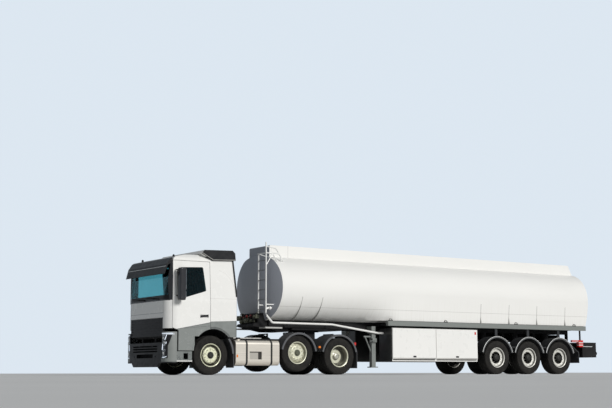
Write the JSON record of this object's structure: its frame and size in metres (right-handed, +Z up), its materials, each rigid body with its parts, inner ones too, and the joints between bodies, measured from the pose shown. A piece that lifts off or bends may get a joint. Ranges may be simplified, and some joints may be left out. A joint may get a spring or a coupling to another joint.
{
  "type": "articulated tanker lorry",
  "caption": "Cab-over tractor unit with steered, lifting and twin-tyred driven axles, hinged at its fifth wheel to a tri-axle fuel tank semi-trailer.",
  "frame": {"origin": "on the ground under the middle of the whole lorry, halfway between its bumpers", "axes": "+X forward, +Y to the left, +Z up"},
  "size_m": [16.14, 3, 3.64],
  "materials": {
    "white_paint": "gloss",
    "cab_paint": "gloss",
    "grey_paint": "satin metallic",
    "black_plastic": "satin",
    "chassis_paint": "satin",
    "bright_aluminium": "brushed",
    "wheel_silver": "satin",
    "tyre": "matt",
    "mudguard_grey": "satin",
    "glass": "clear",
    "lamp": "clear",
    "red_lamp": "gloss",
    "trim": "matt"
  },
  "bodies": {
    "tractor": {"tractor_frame": "chassis_paint", "fifth_wheel": "chassis_paint", "tractor_axles": "chassis_paint", "engine": "chassis_paint", "bumper": "grey_paint", "tractor_lamps": "lamp", "side_tanks": "bright_aluminium", "tractor_mudguards": "mudguard_grey", "treads": "bright_aluminium"},
    "cab": {"cab_shell": "cab_paint", "cab_skirts": "grey_paint", "grille": "black_plastic", "windscreen": "glass", "cab_trim": "black_plastic", "cab_interior": "trim"},
    "front_lid": {"front_lid": "cab_paint"},
    "door_left": {"door_left": "cab_paint", "glass_left": "glass"},
    "door_right": {"door_right": "cab_paint", "glass_right": "glass"},
    "knuckle_left": {"knuckle_left": "chassis_paint"},
    "knuckle_right": {"knuckle_right": "chassis_paint"},
    "trailer": {"tank": "white_paint", "manhole_covers": "bright_aluminium", "trailer_frame": "chassis_paint", "landing_legs": "chassis_paint", "trailer_axles": "chassis_paint", "trailer_mudguards": "mudguard_grey", "cabinets": "white_paint", "ladder": "bright_aluminium", "trailer_lamps": "red_lamp"},
    "wheel_front_left": {"tyre_front_left": "tyre", "rim_front_left": "wheel_silver"},
    "wheel_front_right": {"tyre_front_right": "tyre", "rim_front_right": "wheel_silver"},
    "wheel_lift_left": {"tyre_lift_left": "tyre", "rim_lift_left": "wheel_silver"},
    "wheel_lift_right": {"tyre_lift_right": "tyre", "rim_lift_right": "wheel_silver"},
    "wheel_trailer_1_left": {"tyre_trailer_1_left": "tyre", "rim_trailer_1_left": "wheel_silver"},
    "wheel_trailer_1_right": {"tyre_trailer_1_right": "tyre", "rim_trailer_1_right": "wheel_silver"},
    "wheel_trailer_2_left": {"tyre_trailer_2_left": "tyre", "rim_trailer_2_left": "wheel_silver"},
    "wheel_trailer_2_right": {"tyre_trailer_2_right": "tyre", "rim_trailer_2_right": "wheel_silver"},
    "wheel_trailer_3_left": {"tyre_trailer_3_left": "tyre", "rim_trailer_3_left": "wheel_silver"},
    "wheel_trailer_3_right": {"tyre_trailer_3_right": "tyre", "rim_trailer_3_right": "wheel_silver"},
    "wheels_drive_left": {"tyres_drive_left": "tyre", "rims_drive_left": "wheel_silver"},
    "wheels_drive_right": {"tyres_drive_right": "tyre", "rims_drive_right": "wheel_silver"},
    "cabinet_door_front_left": {"cabinet_door_front_left": "white_paint"},
    "cabinet_door_rear_left": {"cabinet_door_rear_left": "white_paint"},
    "cabinet_door_front_right": {"cabinet_door_front_right": "white_paint"},
    "cabinet_door_rear_right": {"cabinet_door_rear_right": "white_paint"}
  },
  "joints": [
    {"name": "fifth_wheel_swing", "type": "hinge", "parent": "tractor", "child": "trailer", "pos_m": [2.985, 0, 1.25], "axis": [0, 0, 1], "range_deg": [-90, 90]},
    {"name": "cab_tilt", "type": "hinge", "parent": "tractor", "child": "cab", "pos_m": [7.865, 0, 1], "axis": [0, 1, 0], "range_deg": [0, 60]},
    {"name": "front_lid_lift", "type": "hinge", "parent": "cab", "child": "front_lid", "pos_m": [7.996, 0, 1.921], "axis": [0, -1, 0], "range_deg": [0, 75]},
    {"name": "door_left_swing", "type": "hinge", "parent": "cab", "child": "door_left", "pos_m": [7.795, 1.195, 1.9], "axis": [0, 0, -1], "range_deg": [0, 75]},
    {"name": "door_right_swing", "type": "hinge", "parent": "cab", "child": "door_right", "pos_m": [7.795, -1.195, 1.9], "axis": [0, 0, 1], "range_deg": [0, 75]},
    {"name": "steer_left", "type": "hinge", "parent": "tractor", "child": "knuckle_left", "pos_m": [6.665, 0.85, 0.515], "axis": [0, 0, 1], "range_deg": [-40, 40]},
    {"name": "steer_right", "type": "hinge", "parent": "tractor", "child": "knuckle_right", "pos_m": [6.665, -0.85, 0.515], "axis": [0, 0, 1], "range_deg": [-40, 40]},
    {"name": "roll_front_left", "type": "hinge", "parent": "knuckle_left", "child": "wheel_front_left", "pos_m": [6.665, 1.005, 0.515], "axis": [0, 1, 0], "continuous": true},
    {"name": "roll_lift_left", "type": "hinge", "parent": "tractor", "child": "wheel_lift_left", "pos_m": [3.935, 1.005, 0.6], "axis": [0, 1, 0], "continuous": true},
    {"name": "roll_drive_left", "type": "hinge", "parent": "tractor", "child": "wheels_drive_left", "pos_m": [2.565, 1.075, 0.515], "axis": [0, 1, 0], "continuous": true},
    {"name": "roll_trailer_1_left", "type": "hinge", "parent": "trailer", "child": "wheel_trailer_1_left", "pos_m": [-3.445, 1.02, 0.515], "axis": [0, 1, 0], "continuous": true},
    {"name": "roll_trailer_2_left", "type": "hinge", "parent": "trailer", "child": "wheel_trailer_2_left", "pos_m": [-4.805, 1.02, 0.515], "axis": [0, 1, 0], "continuous": true},
    {"name": "roll_trailer_3_left", "type": "hinge", "parent": "trailer", "child": "wheel_trailer_3_left", "pos_m": [-6.165, 1.02, 0.515], "axis": [0, 1, 0], "continuous": true},
    {"name": "cabinet_door_front_left_lift", "type": "hinge", "parent": "trailer", "child": "cabinet_door_front_left", "pos_m": [-0.14, 1.222, 1.332], "axis": [1, 0, 0], "range_deg": [0, 90]},
    {"name": "cabinet_door_rear_left_lift", "type": "hinge", "parent": "trailer", "child": "cabinet_door_rear_left", "pos_m": [-1.79, 1.222, 1.332], "axis": [1, 0, 0], "range_deg": [0, 90]},
    {"name": "roll_front_right", "type": "hinge", "parent": "knuckle_right", "child": "wheel_front_right", "pos_m": [6.665, -1.005, 0.515], "axis": [0, 1, 0], "continuous": true},
    {"name": "roll_lift_right", "type": "hinge", "parent": "tractor", "child": "wheel_lift_right", "pos_m": [3.935, -1.005, 0.6], "axis": [0, 1, 0], "continuous": true},
    {"name": "roll_drive_right", "type": "hinge", "parent": "tractor", "child": "wheels_drive_right", "pos_m": [2.565, -1.075, 0.515], "axis": [0, 1, 0], "continuous": true},
    {"name": "roll_trailer_1_right", "type": "hinge", "parent": "trailer", "child": "wheel_trailer_1_right", "pos_m": [-3.445, -1.02, 0.515], "axis": [0, 1, 0], "continuous": true},
    {"name": "roll_trailer_2_right", "type": "hinge", "parent": "trailer", "child": "wheel_trailer_2_right", "pos_m": [-4.805, -1.02, 0.515], "axis": [0, 1, 0], "continuous": true},
    {"name": "roll_trailer_3_right", "type": "hinge", "parent": "trailer", "child": "wheel_trailer_3_right", "pos_m": [-6.165, -1.02, 0.515], "axis": [0, 1, 0], "continuous": true},
    {"name": "cabinet_door_front_right_lift", "type": "hinge", "parent": "trailer", "child": "cabinet_door_front_right", "pos_m": [-0.14, -1.222, 1.332], "axis": [-1, 0, 0], "range_deg": [0, 90]},
    {"name": "cabinet_door_rear_right_lift", "type": "hinge", "parent": "trailer", "child": "cabinet_door_rear_right", "pos_m": [-1.79, -1.222, 1.332], "axis": [-1, 0, 0], "range_deg": [0, 90]}
  ],
  "couplings": [
    {"joint": "steer_right", "follows": "steer_left", "ratio": 1}
  ]
}
